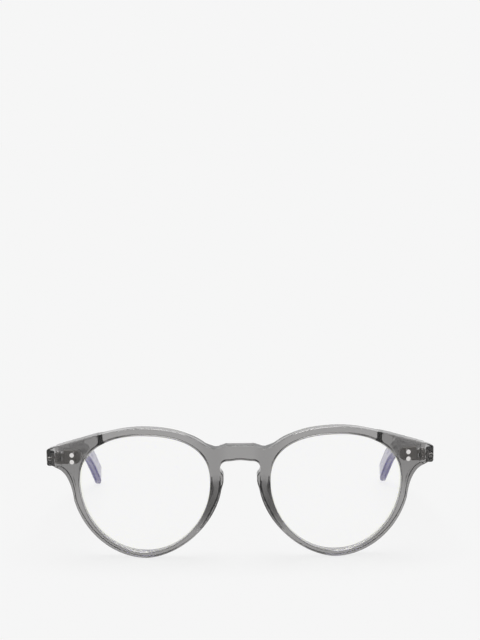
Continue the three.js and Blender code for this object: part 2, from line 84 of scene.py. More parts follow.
print(f"Hinges {2000 * HINGE_HALF:.1f} mm apart, temples {1000 * TEMPLE_LENGTH:.1f} mm long")

# %% [markdown]
# ## How the glasses stand
# Open glasses rest on the lower edges of the rims and on the two temple tips. The front then leans
# forward at its top, and the temples slope down to the rear. The two angles add up to the 12
# degrees that the front tilts on a face. Each angle changes the other, so they are found by rounds
# of correction.

# %% Lean of the front and slope of the temples
PANTOSCOPIC_TILT = math.radians(12)
CORRECTION_ROUNDS = 30
tail_start = TEMPLE_STRAIGHT + TEMPLE_BEND_RADIUS * math.sin(TEMPLE_BEND)
tip_centre_y = tail_start + TEMPLE_TAIL * math.cos(TEMPLE_BEND)
tail_drop = TEMPLE_TAIL * math.sin(TEMPLE_BEND)
tip_centre_z = -TEMPLE_BEND_RADIUS * (1 - math.cos(TEMPLE_BEND)) - tail_drop
rim_depth = FRONT_RADIUS * (1 - math.cos(LENS_CENTRE / FRONT_RADIUS)) + EDGE_ROUND
rim_drop = LENS_LINE - LENS_BELOW - RIM_BOTTOM
slope = 0
for _ in range(CORRECTION_ROUNDS):
    lean = PANTOSCOPIC_TILT - slope
    rim_foot = rim_drop * math.cos(lean) + rim_depth * math.sin(lean)
    hinge_height = HINGE_LINE * math.cos(lean) - rim_foot
    tip_fall = hinge_height + tip_centre_z * math.cos(slope) - TIP_HEIGHT / 2
    slope = math.asin(tip_fall / tip_centre_y)
lean = PANTOSCOPIC_TILT - slope
print(f"Front leans {math.degrees(lean):.2f} degrees, temples slope {math.degrees(slope):.2f}")

# %% Frames of the front, the hinge and the temple, from the hinge screw's place
SEAT_GAP = 0.15 * MM
BUTT_OUT = KNUCKLE_RADIUS + SEAT_GAP + TEMPLE_THICKNESS / 2
screw_low, screw_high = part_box("hinge_screw_left")
stack_half = 1.5 * KNUCKLE_HEIGHT + KNUCKLE_GAP
hinge_axis = Vector(((screw_low.x + screw_high.x) / 2, (screw_low.y + screw_high.y) / 2,
                     screw_low.z + stack_half))
datum = hinge_axis - Vector((HINGE_HALF, HINGE_DEPTH, HINGE_LINE * math.cos(lean)))
front_frame = Matrix.Translation(datum) @ Matrix.Rotation(lean, 4, "X")
hinge_frame = Matrix.Translation(hinge_axis)
temple_frame = (hinge_frame @ Matrix.Translation((BUTT_OUT, -KNUCKLE_RADIUS, 0))
                @ Matrix.Rotation(-slope, 4, "X"))
print("Left hinge turns about", hinge_axis)

# %% [markdown]
# ## Tools of the bench
# Almost every piece here is a ring that was drawn out: a lens edge, a rim's wall, a temple's
# section or a barrel's profile. So the main tool starts a circle, moves its vertices onto the first
# ring, and extrudes it from ring to ring. Lofted curves would do too, but extruded rings keep an
# even net of four-sided faces, which bends light without wrinkles.

# %% Select nothing, or one piece
def deselect():
    if bpy.context.object and bpy.context.object.mode != "OBJECT":
        bpy.ops.object.mode_set(mode="OBJECT")
    bpy.ops.object.select_all(action="DESELECT")


def take(piece):
    deselect()
    piece.select_set(True)
    bpy.context.view_layer.objects.active = piece


# %% Count open edges, and say what was made
def open_edges(piece):
    mesh = bmesh.new()
    mesh.from_mesh(piece.data)
    count = sum(not edge.is_manifold for edge in mesh.edges)
    mesh.free()
    return count


def say(piece):
    faces, size = len(piece.data.polygons), [round(1000 * x, 2) for x in piece.dimensions]
    print(f"{piece.name}: {faces} faces, {open_edges(piece)} open edges, {size} mm")


# %% Find the vertices of a ring
ON_POINT, DOUBLE = 1e-6, 1e-7  # metres: a vertex is on a point, two vertices are one


def finder(points):
    """A tree that finds the nearest of these points."""
    tree = KDTree(len(points))
    for index, point in enumerate(points):
        tree.insert(point, index)
    tree.balance()
    return tree


def choose_ring(mesh, points):
    """Selects the vertices of an edited mesh that lie on these points."""
    tree = finder(points)
    for vertex in mesh.verts:
        vertex.select = tree.find(vertex.co)[2] < ON_POINT
    mesh.select_flush(True)


# %% Draw a ring out from place to place
def face_outward():
    """Merges doubles and turns every face outward, then leaves edit mode."""
    bpy.ops.mesh.select_all(action="SELECT")
    bpy.ops.mesh.remove_doubles(threshold=DOUBLE)
    bpy.ops.mesh.normals_make_consistent(inside=False)
    bpy.ops.object.mode_set(mode="OBJECT")


def draw_out(name, rings, ends="cap"):
    """Extrudes a circle from ring to ring. Its ends are capped, open, or welded together."""
    deselect()
    bpy.ops.mesh.primitive_circle_add(vertices=len(rings[0]), radius=1)
    piece = bpy.context.object
    piece.name = piece.data.name = name
    for vertex, point in zip(piece.data.vertices, rings[0]):
        vertex.co = point
    bpy.ops.object.mode_set(mode="EDIT")
    bpy.ops.mesh.select_all(action="SELECT")
    for before, after in zip(rings, rings[1:]):
        bpy.ops.mesh.extrude_region_move()
        mesh = bmesh.from_edit_mesh(piece.data)
        tree = finder(before)
        for vertex in mesh.verts:
            if vertex.select:
                vertex.co = after[tree.find(vertex.co)[1]]
        bmesh.update_edit_mesh(piece.data)
    if ends == "cap":
        for ring in (rings[-1], rings[0]):
            choose_ring(bmesh.from_edit_mesh(piece.data), ring)
            bpy.ops.mesh.edge_face_add()
    face_outward()
    return piece


# %% [markdown]
# Pieces that go together are joined, fused or cut with Boolean modifiers. Each is placed by its
# frame and then has that place applied, so that a finished piece's object sits at the origin. What
# is on both sides is made once, on the left, and copied as its mirror image.

# %% Apply a modifier, fuse and cut
def modify(piece, kind, **settings):
    take(piece)
    bpy.ops.object.modifier_add(type=kind)
    modifier = piece.modifiers[-1]
    for key, value in settings.items():
        setattr(modifier, key, value)
    bpy.ops.object.modifier_apply(modifier=modifier.name)


def combine(piece, tool, operation):
    """Fuses a tool to a piece, or cuts the piece with it, and removes the tool."""
    modify(piece, "BOOLEAN", object=tool, operation=operation, solver="EXACT")
    bpy.data.objects.remove(tool)


# %% Place a piece, make a box, and mirror
def place(piece, matrix):
    take(piece)
    piece.matrix_world = matrix
    bpy.ops.object.transform_apply(location=True, rotation=True, scale=True)


def box_tool(low, high):
    deselect()
    bpy.ops.mesh.primitive_cube_add(size=1)
    tool = bpy.context.object
    middle = (Vector(low) + Vector(high)) / 2
    place(tool, Matrix.LocRotScale(middle, None, Vector(high) - Vector(low)))
    return tool


def mirrored(piece, name):
    """The same piece for the other side, with its own mesh, turned outward again."""
    take(piece)
    bpy.ops.object.duplicate()
    other = bpy.context.object
    other.name = other.data.name = name
    place(other, Matrix.Scale(-1, 4, (1, 0, 0)))
    bpy.ops.object.mode_set(mode="EDIT")
    face_outward()
    return other


# %% Smooth the faces
SMOOTH, SMOOTH_METAL = 40, 30  # degrees between two faces


def smooth(piece, angle):
    take(piece)
    bpy.ops.object.shade_smooth_by_angle(angle=math.radians(angle))
    modify(piece, "WEIGHTED_NORMAL", mode="FACE_AREA", weight=50, keep_sharp=True)


# %% [markdown]
# ## The acetate
# Cellulose acetate is cut from a clear, tinted sheet and tumbled until it is glossy. What gives it
# its depth is that it absorbs light on the way through: thin places are pale, thick places are
# dark, and the end of a temple, looked into lengthwise, is nearly black. So its surface is a
# colourless, glossy shell that transmits light, and the grey is an absorption inside the volume. A
# surface colour would look the same at every thickness. Polishing leaves faint waves and hairlines,
# which only show in the reflections, so they are a very small bump and a slight change of
# roughness.

# %% Start a material and set its sockets
WHITE = (1, 1, 1, 1)


def new_material(name):
    material = bpy.data.materials.new(name)
    material.use_nodes = True
    nodes = material.node_tree.nodes
    return material, nodes, material.node_tree.links, nodes["Principled BSDF"]


def set_sockets(node, values):
    for name, value in values.items():
        node.inputs[name].default_value = value


# %% Noise, and what it does to a surface
def noise(nodes, links, scale, detail=2.0, stretch=None):
    """Noise on Object coordinates, in steps per metre, stretched along an axis if asked."""
    coordinates = nodes.new("ShaderNodeTexCoord")
    mapping = nodes.new("ShaderNodeMapping")
    if stretch:
        mapping.inputs["Scale"].default_value = stretch
    texture = nodes.new("ShaderNodeTexNoise")
    set_sockets(texture, {"Scale": scale, "Detail": detail})
    links.new(coordinates.outputs["Object"], mapping.inputs["Vector"])
    links.new(mapping.outputs["Vector"], texture.inputs["Vector"])
    return texture


def vary_roughness(nodes, links, shader, texture, low, high):
    """Lets a texture move the roughness between low and high."""
    ramp = nodes.new("ShaderNodeMapRange")
    set_sockets(ramp, {"To Min": low, "To Max": high})
    links.new(texture.outputs["Fac"], ramp.inputs["Value"])
    links.new(ramp.outputs["Result"], shader.inputs["Roughness"])


def ripple(nodes, links, shader, texture, strength, distance):
    """Lets a texture tilt the surface, as a relief of this height would."""
    bump = nodes.new("ShaderNodeBump")
    set_sockets(bump, {"Strength": strength, "Distance": distance})
    links.new(texture.outputs["Fac"], bump.inputs["Height"])
    links.new(bump.outputs["Normal"], shader.inputs["Normal"])


# %% Grey acetate
ACETATE_IOR = 1.49
DYE_COLOR, DYE_DENSITY = (0.02, 0.005, 0.0, 1), 225  # a 4.6 mm sheet lets a third of the light pass


def grey_acetate():
    material, nodes, links, shader = new_material("grey_acetate")
    set_sockets(shader, {"Transmission Weight": 1, "IOR": ACETATE_IOR, "Base Color": WHITE})
    hairlines = noise(nodes, links, scale=900, detail=3.0, stretch=(1, 6, 6))
    vary_roughness(nodes, links, shader, hairlines, low=0.0, high=0.05)
    waves = noise(nodes, links, scale=160)
    ripple(nodes, links, shader, waves, strength=0.015, distance=0.2 * MM)
    depth = nodes.new("ShaderNodeVolumeAbsorption")
    set_sockets(depth, {"Color": DYE_COLOR, "Density": DYE_DENSITY})
    links.new(depth.outputs["Volume"], nodes["Material Output"].inputs["Volume"])
    return material


ACETATE = grey_acetate()
print("Made", ACETATE.name)

# %% [markdown]
# ## Lens, hinge and rivet finishes
# The lenses are clear, but their coating reflects the studio as a faint violet, which shows over
# the dark temple tips. A thin film could be computed, but a violet tint of the reflection looks the
# same at every size. The index is raised until the reflection is as strong as the photograph's: on
# so shallow a lens the stronger bending can't be seen. Wiping leaves it less than sharp.
# The hinges are satin nickel silver, whose fine grain blurs what they reflect. Rivets and screws
# are polished, so their grain is fainter.

# %% Clear, coated lens
COATED_IOR, COATING_TINT = 1.92, (0.33, 0.27, 1, 1)


def clear_lens():
    material, nodes, links, shader = new_material("clear_lens")
    set_sockets(shader, {"Transmission Weight": 1, "IOR": COATED_IOR, "Base Color": WHITE,
                         "Specular Tint": COATING_TINT})
    wiped = noise(nodes, links, scale=250, detail=3.0, stretch=(1, 1, 4))
    vary_roughness(nodes, links, shader, wiped, low=0.0, high=0.03)
    ripple(nodes, links, shader, wiped, strength=0.01, distance=0.02 * MM)
    return material


def ground_edge():
    """The edge of a lens is left as the grinding wheel leaves it: fine, matt and whitish."""
    material, nodes, links, shader = new_material("ground_lens_edge")
    set_sockets(shader, {"Base Color": (0.95, 0.95, 0.96, 1), "Transmission Weight": 0.75})
    grit = noise(nodes, links, scale=6000, detail=3.0)
    vary_roughness(nodes, links, shader, grit, low=0.45, high=0.7)
    ripple(nodes, links, shader, grit, strength=0.2, distance=0.02 * MM)
    return material


LENS, LENS_EDGE_FINISH = clear_lens(), ground_edge()
print("Made", LENS.name, "and", LENS_EDGE_FINISH.name)

# %% Satin hinge metal and polished rivet metal
def brushed_metal(name, color, low, high):
    material, nodes, links, shader = new_material(name)
    set_sockets(shader, {"Metallic": 1, "Base Color": (*color, 1)})
    grain = noise(nodes, links, scale=2500, detail=4.0, stretch=(1, 1, 12))
    vary_roughness(nodes, links, shader, grain, low, high)
    ripple(nodes, links, shader, grain, strength=0.15, distance=0.01 * MM)
    return material


HINGE_METAL = brushed_metal("hinge_metal", (0.4, 0.38, 0.36), low=0.22, high=0.42)
RIVET_METAL = brushed_metal("rivet_metal", (0.77, 0.755, 0.74), low=0.08, high=0.22)
print("Made", HINGE_METAL.name, "and", RIVET_METAL.name)

# %% Finish a piece, or a left piece and its mirror image: smooth it, give it its material, attach it to its body and hide the imported parts it stands for
def finish_piece(piece, material, body, slot, *nodes, angle=SMOOTH):
    smooth(piece, angle)
    if not piece.data.materials:
        piece.data.materials.append(material)
    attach(piece, body)
    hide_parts(*nodes)
    say(piece)


def other_side(name):
    return name.replace("left", "right")


def finish_pair(piece, material, body, slot, node, angle=SMOOTH):
    other = mirrored(piece, other_side(piece.name))
    finish_piece(piece, material, body, slot, node, angle=angle)
    finish_piece(other, material, other_side(body), slot, other_side(node), angle=angle)


# %% [markdown]
# ## The front
# The front is one flat blank, milled and then bent. Its outline is drawn first: the flat top of the
# bridge, the notch beside it, the round rim, the brow line to the endpiece, the foot under it, and
# back round the rim to the keyhole. The rim and the lens opening are ovals whose four quarters have
# their own squareness. A traced picture would give a wobbly edge, and formulas keep it fair.

# %% Ovals in the flat layout: a share of a turn runs from the temporal side over the top
LENS_SQUARENESS = (1.05, 1.225, 0.965, 1)  # of each quarter, in that order
RIM_SQUARENESS = (1.05, 1.16, 0.875, 0.975)


def oval(share, temporal, nasal, top, bottom, squareness):
    """A point of the lens opening's oval, grown on its four sides."""
    across, up = math.cos(2 * math.pi * share), math.sin(2 * math.pi * share)
    power = 1 / squareness[int(share % 1 * 4)]
    wide = LENS_WIDTH / 2 + (temporal if across >= 0 else nasal)
    tall = (LENS_ABOVE + top) if up >= 0 else (LENS_BELOW + bottom)
    return Vector((LENS_CENTRE + wide * math.copysign(abs(across) ** power, across),
                   LENS_LINE + tall * math.copysign(abs(up) ** power, up)))


def lens_point(share, grow=0.0):
    return oval(share, grow, grow, grow, grow, LENS_SQUARENESS)


def rim_point(share):
    return oval(share, RIM_TEMPORAL, RIM_NASAL, RIM_TOP, RIM_BOTTOM, RIM_SQUARENESS)


print(f"Rim {1000 * (rim_point(0).x - rim_point(0.5).x):.1f} mm wide")

# %% Curves that join the ovals, all without their last point
CORNER_HANDLE = 0.6


def bezier(a, b, c, d, steps):
    """A curve from a to d with handles b and c."""
    shares = [step / steps for step in range(steps)]
    return [a * (1 - t) ** 3 + b * 3 * t * (1 - t) ** 2 + c * 3 * t * t * (1 - t) + d * t ** 3
            for t in shares]


def rounded_corner(start, corner, end, steps=6):
    return bezier(start, start.lerp(corner, CORNER_HANDLE), end.lerp(corner, CORNER_HANDLE),
                  end, steps)


def rim_stretch(start, end, steps):
    return [rim_point(start + (end - start) * step / steps) for step in range(steps)]


# %% Outline of the bridge's top, the notch and the rim's shoulder
BRIDGE_TOP, BRIDGE_TOP_HALF = 3.9 * MM, 5 * MM
NOTCH_HALF, NOTCH_TOP, NOTCH_DIP = BRIDGE_WIDTH / 2 - 2 * MM, 2.65 * MM, 0.5 * MM
SHOULDER_SHARE, CROWN_SHARE = 0.385, 0.25
FLANK_HANDLE, SHOULDER_HANDLE = Vector((1, 0.38)) * MM, Vector((0.8, 0.5)) * MM
bridge_top = Vector((0, BRIDGE_TOP))
bump = Vector((BRIDGE_TOP_HALF, BRIDGE_TOP))
notch = Vector((NOTCH_HALF, NOTCH_TOP - NOTCH_DIP / 4))
shoulder = rim_point(SHOULDER_SHARE)
flank = notch.lerp(shoulder, 0.2)
bridge_line = [
    *bezier(bridge_top, bump * 1 / 3 + bridge_top * 2 / 3, bump * 2 / 3 + bridge_top * 1 / 3,
            bump, 6),
    *bezier(bump, bump.lerp(notch, 0.25), bump.lerp(notch, 0.5), bump.lerp(notch, 0.75), 5),
    *rounded_corner(bump.lerp(notch, 0.75), notch, flank),
    *bezier(flank, flank + FLANK_HANDLE, shoulder - SHOULDER_HANDLE, shoulder, 7),
    *rim_stretch(SHOULDER_SHARE, CROWN_SHARE, 20),
]
print(len(bridge_line), "points to the crown of the rim")

# %% Outline of the brow, the endpiece and the rim's outer side
END_CORNER, END_HEEL = 0.9 * MM, 1.7 * MM
END_TOP, END_BOTTOM = HINGE_LINE + 3.15 * MM, HINGE_LINE - 2.85 * MM
CROWN_HANDLE, BROW_HANDLE, BROW_FALL, BROW_DROP = 8.3 * MM, 17.5, math.radians(18), 0.2 * MM
FOOT_SHARE, FOOT_HANDLE, UNDER_HANDLE = 0.39, 3.4 * MM, 6.8 * MM
UNDER_SHARE, NOSE_SHARE = 0.955, 0.52
crown = rim_point(CROWN_SHARE)
brow_end = Vector((END_HALF - END_CORNER, END_TOP))
brow_handle = brow_end + Vector((-math.cos(BROW_FALL), math.sin(BROW_FALL))) * BROW_HANDLE * MM
side_top = Vector((END_HALF, END_TOP - END_CORNER))
side_middle = Vector((END_HALF, 0))
side_bottom = Vector((END_HALF, END_BOTTOM + END_HEEL))
heel = Vector((END_HALF - END_HEEL, END_BOTTOM))
foot = Vector((END_HALF - FOOT_SHARE * END_REACH, END_BOTTOM - END_CORNER))
under = rim_point(UNDER_SHARE)
end_line = [
    *bezier(crown, crown + Vector((CROWN_HANDLE, 0)), brow_handle, brow_end, 34),
    *rounded_corner(brow_end, Vector((END_HALF, END_TOP - BROW_DROP)), side_top),
    *bezier(side_top, side_middle, side_middle, side_bottom, 6),
    *rounded_corner(side_bottom, Vector((END_HALF, END_BOTTOM)), heel),
    *bezier(heel, heel.lerp(foot, 0.3), heel.lerp(foot, 0.7), foot, 4),
    *bezier(foot, foot - Vector((FOOT_HANDLE, END_CORNER)),
            under + Vector((END_CORNER, UNDER_HANDLE)), under, 18),
    *rim_stretch(UNDER_SHARE, NOSE_SHARE, 76),
]
print(len(end_line), "points round the endpiece to the nose")

# %% Outline of the nose and the keyhole
KEYHOLE_HALF, KEYHOLE_RADIUS, KEYHOLE_CENTRE = BRIDGE_WIDTH / 2 - 6.1 * MM, 2.6 * MM, -4.3 * MM
KEYHOLE_START, KEYHOLE_SWEEP, KEYHOLE_STEPS = -45, 135, 16
BRIDGE_UNDER = KEYHOLE_CENTRE + KEYHOLE_RADIUS + 0.4 * MM
NOSE_HALF, NOSE_CORNER = BRIDGE_WIDTH / 2 - 4.75 * MM, KEYHOLE_CENTRE - 3.65 * MM
NOSE_HANDLE, MOUTH_HANDLE = Vector((0, 0.7 * MM)), Vector((0.5, 0.5)) * MM
ROOF_HANDLE = Vector((1.5 * MM, 0))
nose = rim_point(NOSE_SHARE)
nose_middle = Vector((NOSE_HALF, (nose.y + NOSE_CORNER) / 2))
nose_corner = Vector((NOSE_HALF, NOSE_CORNER))
keyhole_centre = Vector((KEYHOLE_HALF, KEYHOLE_CENTRE))
turns = [math.radians(KEYHOLE_START + KEYHOLE_SWEEP * step / KEYHOLE_STEPS)
         for step in range(KEYHOLE_STEPS)]
keyhole = [keyhole_centre + KEYHOLE_RADIUS * Vector((math.cos(a), math.sin(a))) for a in turns]
roof = keyhole_centre + Vector((0, KEYHOLE_RADIUS))
bridge_under = Vector((0, BRIDGE_UNDER))
keyhole_line = [
    *bezier(nose, nose.lerp(nose_corner, 0.3), nose_middle, nose_corner, 8),
    *bezier(nose_corner, nose_corner + NOSE_HANDLE, keyhole[0] - MOUTH_HANDLE, keyhole[0], 6),
    *keyhole,
    *bezier(roof, roof - ROOF_HANDLE, bridge_under + ROOF_HANDLE, bridge_under, 8),
    bridge_under,
]
half = bridge_line + end_line + keyhole_line
outline = half + [Vector((-p.x, p.y)) for p in reversed(half[1:-1])]
print(f"Outline of {len(outline)} points, {2000 * max(p.x for p in outline):.1f} mm wide")

# %% [markdown]
# The outline is drawn back from the front face to the rear face as one wall with rounded edges, and
# each lens opening as another, with the V groove that holds the lens and a flare behind it on the
# outer side. The two faces between the walls are then filled, and cut into narrow strips so that
# they can bend. Bevelling a finished block would also round the edges, but it tears at the tight
# curves of the keyhole.

# %% Set an outline in, and lay it at a depth
def set_in(points, depth):
    """Moves each point into the material, at right angles to the edge."""
    moved = []
    for index, point in enumerate(points):
        along = (points[(index + 1) % len(points)] - points[index - 1]).normalized()
        moved.append(point + depth * Vector((along.y, -along.x)))
    return moved


def flat(points, depth):
    return [Vector((p.x, depth, p.y)) for p in points]


# %% Wall of the outline, as rows of inset and depth
ROUND_STEPS = 4
quarter_turn = [math.pi / 2 * step / ROUND_STEPS for step in range(ROUND_STEPS + 1)]
front_round = [(EDGE_ROUND * (1 - math.sin(a)), EDGE_ROUND * (1 - math.cos(a)))
               for a in quarter_turn]
back_round = [(inset, THICKNESS - depth) for inset, depth in reversed(front_round)]
wall = [flat(set_in(outline, inset), depth) for inset, depth in front_round + back_round]
frame_front = draw_out("acetate_front", wall, "open")
print("Wall of", len(wall), "rings")

# %% Walls of the lens openings
GROOVE_DEPTH, GROOVE_HALF = 0.3 * MM, 0.5 * MM
LENS_FORWARD, FLARE = 0.5 * MM, 0.9 * MM
LENS_STEPS = 160
middle_depth = THICKNESS / 2 - LENS_FORWARD
flare_start = middle_depth + GROOVE_HALF
groove = [(0, middle_depth - GROOVE_HALF), (GROOVE_DEPTH, middle_depth), (0, flare_start)]


def opening_ring(inset, depth, side):
    back = max(depth - flare_start, 0) / (THICKNESS - flare_start)
    ring = []
    for step in range(LENS_STEPS):
        temporal = max(math.cos(2 * math.pi * step / LENS_STEPS), 0)
        point = lens_point(step / LENS_STEPS, inset + FLARE * back * temporal)
        ring.append(Vector((side * point.x, point.y)))
    return flat(ring, depth)


for side in (1, -1):
    rows = front_round + groove + back_round
    opening = draw_out("opening", [opening_ring(*row, side) for row in rows], "open")
    take(frame_front)
    opening.select_set(True)
    bpy.ops.object.join()
say(frame_front)

# %% Fill the two faces between the walls
take(frame_front)
bpy.ops.object.mode_set(mode="EDIT")
for depth in (0, THICKNESS):
    mesh = bmesh.from_edit_mesh(frame_front.data)
    for edge in mesh.edges:
        at_depth = all(abs(vertex.co.y - depth) < DOUBLE for vertex in edge.verts)
        edge.select = edge.is_boundary and at_depth
    bpy.ops.mesh.fill(use_beauty=True)

# %% Cut the faces into strips, and the walls too where a ramp will be
STRIP, FACE_FACING = 1.25 * MM, 0.999
RAMP_FROM, RAMP_TO, RAMP_STEPS = 49.0 * MM, 51.6 * MM, 8
LEVEL_FROM, LEVEL_STEP, LEVELS = -32, 2.4, 12  # millimetres


def cut(piece, level, across=True, only_faces=True):
    """Cuts an edited mesh along a line of the layout, across or level."""
    mesh = bmesh.from_edit_mesh(piece.data)
    mesh.normal_update()
    for face in mesh.faces:
        face.select = not only_faces or abs(face.normal.y) > FACE_FACING
    direction = (1, 0, 0) if across else (0, 0, 1)
    bpy.ops.mesh.bisect(plane_co=[level * part for part in direction], plane_no=direction)


strips = int(END_HALF / STRIP)
for step in range(-strips, strips + 1):
    cut(frame_front, step * STRIP)
for step in range(RAMP_STEPS + 1):
    level = RAMP_FROM + (RAMP_TO - RAMP_FROM) * step / RAMP_STEPS
    for side in (1, -1):
        cut(frame_front, side * level, only_faces=False)
for step in range(LEVELS):
    cut(frame_front, (LEVEL_FROM + LEVEL_STEP * step) * MM, across=False)
face_outward()
say(frame_front)

# %% [markdown]
# The blank isn't equally thick all over. Blocks are glued on behind the endpieces and the nose, the
# step down from the endpiece to the rim is milled as a short ramp, and the sheet is left thicker at
# the bridge and low on the rims. The photograph tells it by the grey: the endpieces are darker than
# the rims, and the ramp, which throws the light sideways, shows as a dark patch in the brow. Only
# the back face moves, so that the front stays flat.

# %% Blocks behind the endpieces and the nose
BLOCK_RISE, NOSE_RISE, BRIDGE_RISE, LOW_RISE = 1.65 * MM, 0.9 * MM, 0.35 * MM, 0.5 * MM
LOW_FULL, LOW_GONE = -28 * MM, -16 * MM
BLOCK_GONE, BLOCK_FULL = -18 * MM, -6 * MM
NOSE_BEGINS, NOSE_FULL, NOSE_FADES, NOSE_GONE = 4 * MM, 8 * MM, 9 * MM, 20 * MM


def step_between(value, low, high):
    """Goes smoothly from 0 at low to 1 at high."""
    t = min(max((value - low) / (high - low), 0), 1)
    return t * t * (3 - 2 * t)


def block_height(across, up):
    """How much thicker the sheet is at a place of the layout."""
    ramp = min(max((across - RAMP_FROM) / (RAMP_TO - RAMP_FROM), 0), 1)
    low = LOW_RISE * (1 - step_between(up, LOW_FULL, LOW_GONE))
    block = BLOCK_RISE * ramp * step_between(up, BLOCK_GONE, BLOCK_FULL)
    nose = BRIDGE_RISE + (NOSE_RISE - BRIDGE_RISE) * step_between(across, NOSE_BEGINS, NOSE_FULL)
    return max(block, low) + nose * (1 - step_between(across, NOSE_FADES, NOSE_GONE))


for vertex in frame_front.data.vertices:
    if vertex.co.y > THICKNESS - EDGE_ROUND - ON_POINT:
        vertex.co.y += block_height(abs(vertex.co.x), vertex.co.z)
print(f"Sheet {1000 * (THICKNESS + block_height(END_HALF, HINGE_LINE)):.2f} mm at the endpieces")

# %% [markdown]
# ## Nose pads
# On an acetate frame the pads are small humps of the same sheet, glued on behind the rims and
# polished until the joint can't be seen. Here each is drawn out along the rim, with its foot sunk
# into the back of the sheet, rounded by subdivision, and fused to the front, so that light passes
# through both as through one. The hump rises in a gentle ramp, because a steep one would throw all
# light back and show as a black band. At the lower end it dives into the sheet more steeply, which
# leaves a clean edge.

# %% Height of the nose pad along the rim
PAD_DEPTH, PAD_FROM, PAD_TO, PAD_RINGS = 5.9 * MM, 0.480, 0.637, 40
PAD_SINK, TOP_SINK, FOOT_SINK = 1.2 * MM, 0.3 * MM, 0.9 * MM
RISE_PART, RISE_ROUNDNESS = 0.52, 0.5
FALL_PART, FALL_ROUNDNESS = 0.4, 0.25


def ease(t, roundness):
    """A straight ramp from 0 to 1 whose ends are rounded more or less."""
    t = min(t, 1)
    return step_between(t, 0, 1) * roundness + t * (1 - roundness)


def pad_height(part):
    """How far the pad stands behind the sheet: a gentle rise, a flat and a shorter fall."""
    hump = ease(part / RISE_PART, RISE_ROUNDNESS) * ease((1 - part) / FALL_PART, FALL_ROUNDNESS)
    return PAD_DEPTH * hump - TOP_SINK * (1 - part) - FOOT_SINK * part


print(f"Nose pads {1000 * pad_height(RISE_PART):.2f} mm deep")

# %% Nose pads, fused to the front
PAD_SECTION = (  # share of the way from rim to lens, and of the pad's height
    (0.14, 0), (0.14, 0.5), (0.15, 0.85), (0.22, 0.96), (0.44, 1),
    (0.64, 1), (0.84, 0.97), (0.9, 0.86), (0.91, 0.5), (0.91, 0))


def pad_ring(part, side):
    share = PAD_FROM + (PAD_TO - PAD_FROM) * part
    outer, inner = rim_point(share), lens_point(share)
    ring = []
    for across, back in PAD_SECTION:
        point = outer.lerp(inner, across)
        foot = THICKNESS + block_height(point.x, point.y) - PAD_SINK
        depth = foot + (pad_height(part) + PAD_SINK) * back
        ring.append(Vector((side * point.x, depth, point.y)))
    return ring


for side in (1, -1):
    pad = draw_out("nose_pad", [pad_ring(row / PAD_RINGS, side) for row in range(PAD_RINGS + 1)])
    modify(pad, "SUBSURF", levels=2, render_levels=2)
    combine(frame_front, pad, "UNION")
say(frame_front)

# %% [markdown]
# The blank is bent over a drum, so that the front follows the face, and then gets its lean. After
# that the backs of the endpieces are milled: the flat seat that the open temple's butt meets, the
# corner that the temple swings past, and a pocket for the hinge's barrels.

# %% Bend and lean the front
def bend_over_drum(piece):
    xs = [v.co.x for v in piece.data.vertices]
    modify(piece, "SIMPLE_DEFORM", deform_method="BEND", deform_axis="Z",
           angle=(max(xs) - min(xs)) / FRONT_RADIUS)


bend_over_drum(frame_front)
place(frame_front, front_frame)
say(frame_front)

# %% Mill the endpieces
MILL = 12 * MM
SEAT_INSET, SEAT_DEPTH = 0.1 * MM, 0.25 * MM
SWING_OUT, SWING_BACK = -0.2 * MM, 0.7 * MM
POCKET_PLAY, POCKET_DEPTH = 0.2 * MM, 0.15 * MM
POCKET_LOW, POCKET_HIGH = -1.96 * MM, 2.5 * MM
MILLING = (  # inner edge and front of each cut from the hinge axis, and its two levels
    (KNUCKLE_RADIUS - SEAT_INSET, -KNUCKLE_RADIUS - SEAT_DEPTH, -MILL, MILL),
    (SWING_OUT, SWING_BACK, -MILL, MILL),
    (-KNUCKLE_RADIUS - POCKET_PLAY, -KNUCKLE_RADIUS - POCKET_DEPTH, POCKET_LOW, POCKET_HIGH))
for side in (1, -1):
    for inner, front, low, high in MILLING:
        near, far = side * (HINGE_HALF + inner), side * (HINGE_HALF + MILL)
        tool = box_tool((min(near, far), hinge_axis.y + front, hinge_axis.z + low),
                        (max(near, far), hinge_axis.y + MILL, hinge_axis.z + high))
        combine(frame_front, tool, "DIFFERENCE")
finish_piece(frame_front, ACETATE, "front", "grey_acetate",
             "frame_front", "nose_pad_left", "nose_pad_right")

# %% [markdown]
# ## The lenses
# A lens is a thin, slightly domed shell whose edge is ground to a V for the groove. It is drawn out
# from a small ring at its middle over the dome to the edge, round the V and back behind. A slice
# of a sphere would be quicker, but it wouldn't follow the opening. The edge gets its ground finish
# by the way its faces look.

# %% Rows of the lens, as share of the way out, growth over the opening, and depth
LENS_EDGE, LENS_DOME, LENS_GAP = 1.5 * MM, 1.3 * MM, 0.1 * MM
V_HALF = GROOVE_HALF - 0.03 * MM
DOME_SHARES = (0.02, 0.12, 0.24, 0.36, 0.48, 0.6, 0.72, 0.84, 0.94, 1)
lens_middle = Vector((LENS_CENTRE, LENS_LINE + (LENS_ABOVE - LENS_BELOW) / 2))
front_rows = [(share, -LENS_GAP, -LENS_EDGE / 2) for share in DOME_SHARES]
front_rows.append((1, -LENS_GAP, -V_HALF))
back_rows = [(share, grow, -depth) for share, grow, depth in reversed(front_rows)]
lens_rows = front_rows + [(1, GROOVE_DEPTH - 2 * LENS_GAP, 0)] + back_rows


def lens_ring(share, grow, depth):
    domed = middle_depth + depth - LENS_DOME * (1 - share * share)
    ring = [lens_point(step / LENS_STEPS, grow).lerp(lens_middle, 1 - share)
            for step in range(LENS_STEPS)]
    return flat(ring, domed)


print(f"Lens of {len(lens_rows)} rings, {1000 * LENS_EDGE:.1f} mm thick")

